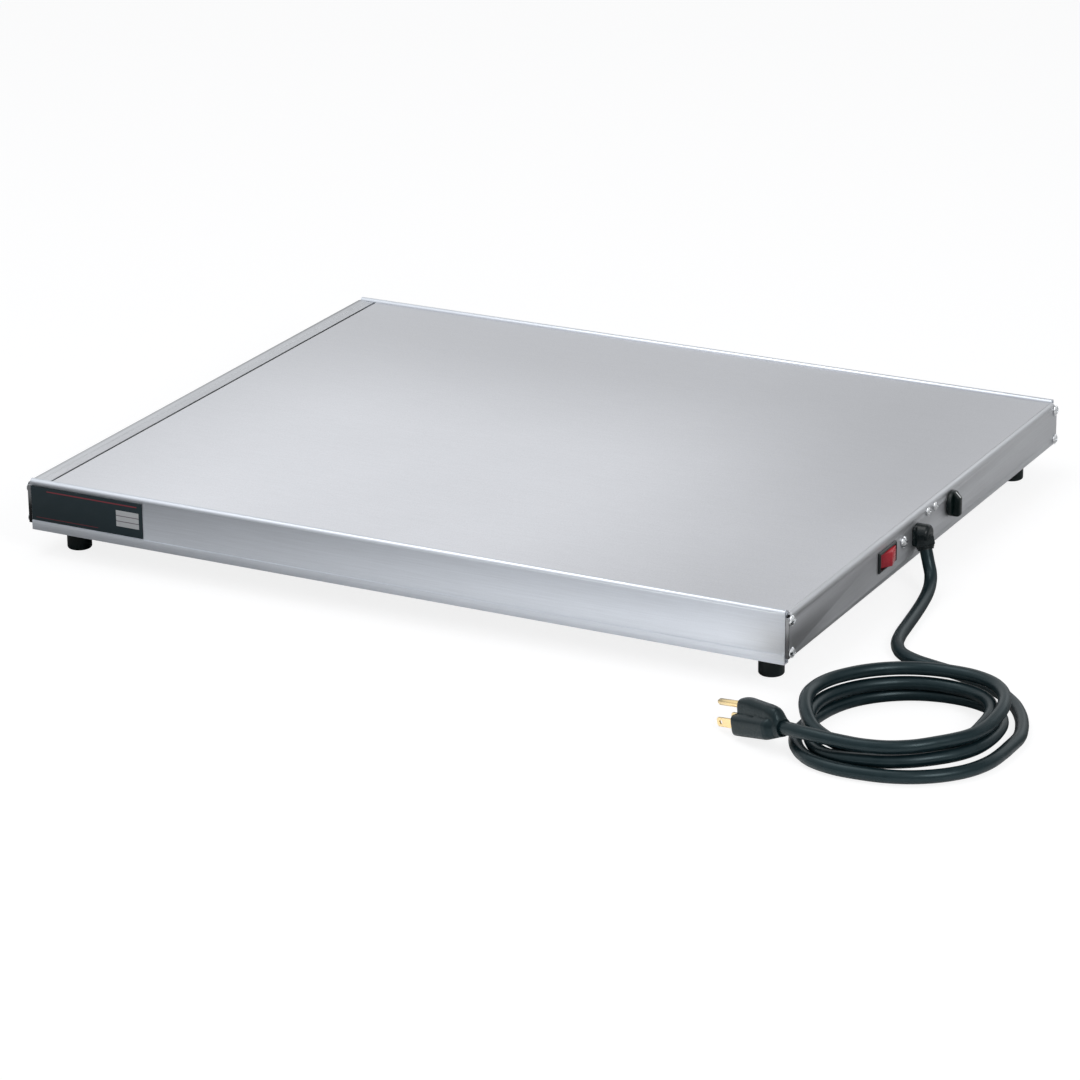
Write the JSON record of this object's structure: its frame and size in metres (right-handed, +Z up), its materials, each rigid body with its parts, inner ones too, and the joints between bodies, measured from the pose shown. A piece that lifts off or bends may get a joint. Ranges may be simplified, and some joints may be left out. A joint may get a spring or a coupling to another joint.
{
  "type": "heated display shelf",
  "caption": "Low countertop heated shelf: flat brushed deck on rails and end panels, rubber feet, lit rocker, thermostat knob, coiled cord with moulded plug.",
  "frame": {"origin": "on the counter under the middle of the shelf, with its knob and screw heads and without its cord", "axes": "+X along the rails towards the control end, +Y from the front rail to the rear rail, +Z up"},
  "size_m": [0.7964, 0.6119, 0.0592],
  "materials": {
    "rail_steel": "long brushed stainless, satin",
    "panel_steel": "brushed stainless, satin",
    "deck_steel": "fine brushed stainless, satin",
    "pan_steel": "plain mill finish",
    "foot_rubber": "matte black",
    "bright_screws": "bright zinc plated",
    "insulation": "matted glass fibre",
    "heater_silicone": "matte moulded silicone",
    "label": "printed film, satin",
    "black_plastic": "moulded, semi gloss",
    "red_lens": "lit translucent red",
    "lamp_glass": "clear neon bulb",
    "brass": "bright, lightly drawn",
    "copper": "drawn copper",
    "wire_black": "smooth sleeve",
    "wire_white": "smooth sleeve",
    "wire_green": "smooth sleeve",
    "wire_red": "smooth sleeve",
    "cord_rubber": "satin black jacket"
  },
  "bodies": {
    "shelf": {"bottom_pan": "pan_steel", "bulb_clip": "pan_steel", "capillary_bulb": "copper", "compartment_divider": "pan_steel", "element_lead_neutral": "wire_white", "element_lead_switched": "wire_white", "end_screw_left_front_lower": "bright_screws", "end_screw_left_front_upper": "bright_screws", "end_screw_left_rear_lower": "bright_screws", "end_screw_left_rear_upper": "bright_screws", "end_screw_right_front_lower": "bright_screws", "end_screw_right_front_upper": "bright_screws", "end_screw_right_rear_lower": "bright_screws", "end_screw_right_rear_upper": "bright_screws", "foot_front_left": "foot_rubber", "foot_front_right": "foot_rubber", "foot_rear_left": "foot_rubber", "foot_rear_right": "foot_rubber", "foot_screw_front_left": "bright_screws", "foot_screw_front_right": "bright_screws", "foot_screw_rear_left": "bright_screws", "foot_screw_rear_right": "bright_screws", "front_rail": "rail_steel", "ground_lug": "brass", "ground_nut": "bright_screws", "ground_screw": "bright_screws", "heating_blanket": "heater_silicone", "insulation_blanket": "insulation", "label_plate": "label", "left_end_panel": "panel_steel", "plug_blade_front": "brass", "plug_blade_rear": "brass", "plug_body": "cord_rubber", "plug_ground_pin": "brass", "power_cord": "cord_rubber", "power_cord_coil": "cord_rubber", "power_cord_tail": "cord_rubber", "rear_rail": "rail_steel", "right_end_panel": "panel_steel", "strain_relief_body": "black_plastic", "strain_relief_flange": "black_plastic", "strain_relief_locknut": "bright_screws", "switch_blade_line": "brass", "switch_blade_load": "brass", "switch_blade_neutral": "brass", "switch_housing": "black_plastic", "switch_lamp": "lamp_glass", "terminal_block": "black_plastic", "terminal_block_screw_front": "bright_screws", "terminal_block_screw_rear": "bright_screws", "thermostat_body": "black_plastic", "thermostat_nut": "bright_screws", "top_plate": "deck_steel", "wire_ground": "wire_green", "wire_line": "wire_black", "wire_switched": "wire_red", "wires_neutral": "wire_white"},
    "knob": {"thermostat_knob": "black_plastic", "thermostat_shaft": "brass"},
    "rocker": {"switch_rocker": "red_lens"}
  },
  "joints": [
    {"name": "knob_turn", "type": "hinge", "parent": "shelf", "child": "knob", "pos_m": [0.3043, 0.03535, 0.0447], "axis": [1, 0, 0], "range_deg": [-300, 0]},
    {"name": "rocker_tilt", "type": "hinge", "parent": "shelf", "child": "rocker", "pos_m": [0.3008, -0.08115, 0.042], "axis": [0, 0, 1], "range_deg": [0, 22]}
  ]
}
